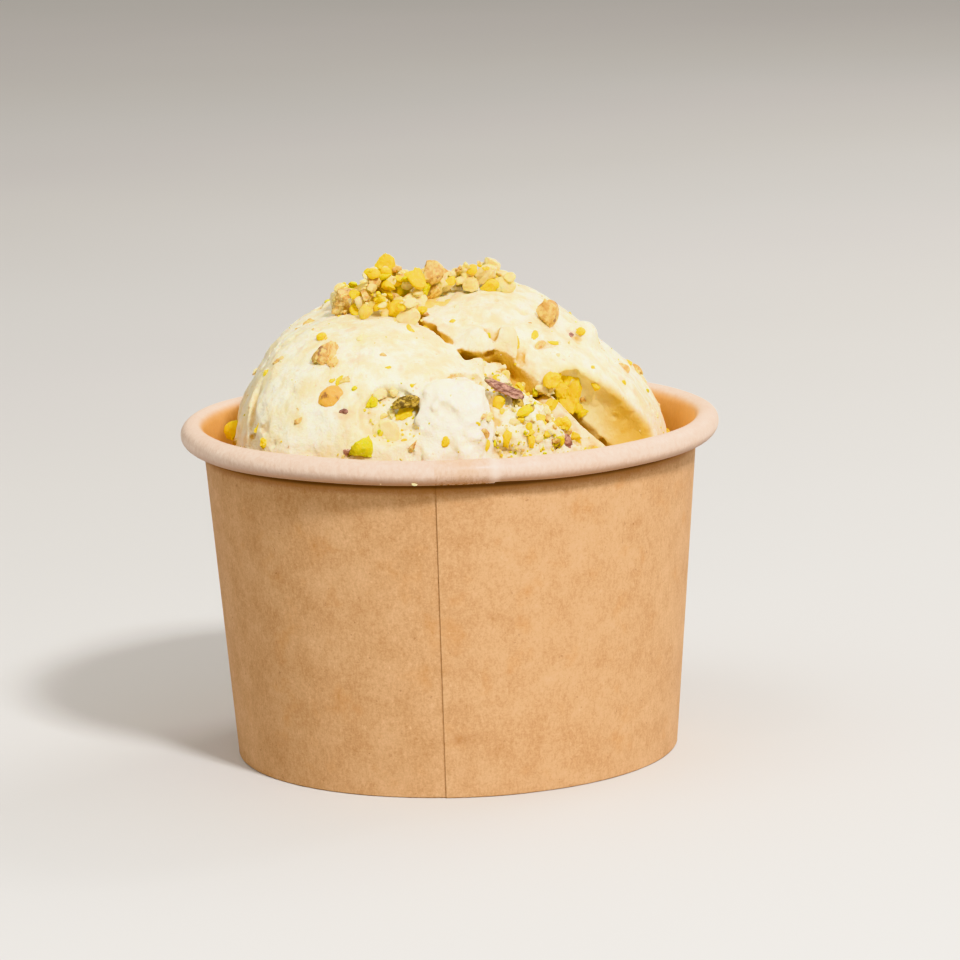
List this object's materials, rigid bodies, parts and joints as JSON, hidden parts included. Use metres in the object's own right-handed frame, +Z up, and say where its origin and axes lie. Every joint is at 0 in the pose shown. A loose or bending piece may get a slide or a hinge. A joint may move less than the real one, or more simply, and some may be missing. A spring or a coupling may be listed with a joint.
{
  "type": "gelato in a paper cup",
  "caption": "Round tapered paper cup with a rolled rim, filled with a smeared mound of pistachio gelato and topped with chopped pistachio nuts.",
  "frame": {"origin": "centre of the cup's foot, on the surface it stands on", "axes": "+Z up along the cup's axis; -Y towards the lapped side seam and the broken side of the mound"},
  "size_m": [0.09, 0.09, 0.0844],
  "materials": {
    "kraft_paper": "uncoated brown paperboard outside, thin clear coating inside",
    "base_paper": "brown paperboard disc, coated on its upper side",
    "gelato": "soft frozen cream, slightly moist",
    "chopped_pistachio": "dry chopped nut",
    "pistachio_piece": "broken nut, dry, some with skin"
  },
  "bodies": {
    "root": {"cup_wall": "kraft_paper", "cup_base": "base_paper", "gelato": "gelato", "pistachio_topping": "chopped_pistachio", "nut_crown_peak": "pistachio_piece", "nut_crown_left": "pistachio_piece", "nut_gold": "pistachio_piece", "nut_skin_slice": "pistachio_piece", "nut_left_tan": "pistachio_piece", "nut_left_orange": "pistachio_piece", "nut_front_green": "pistachio_piece", "nut_front_brown": "pistachio_piece", "nut_right_slope": "pistachio_piece", "nut_by_wall": "pistachio_piece"}
  },
  "joints": []
}
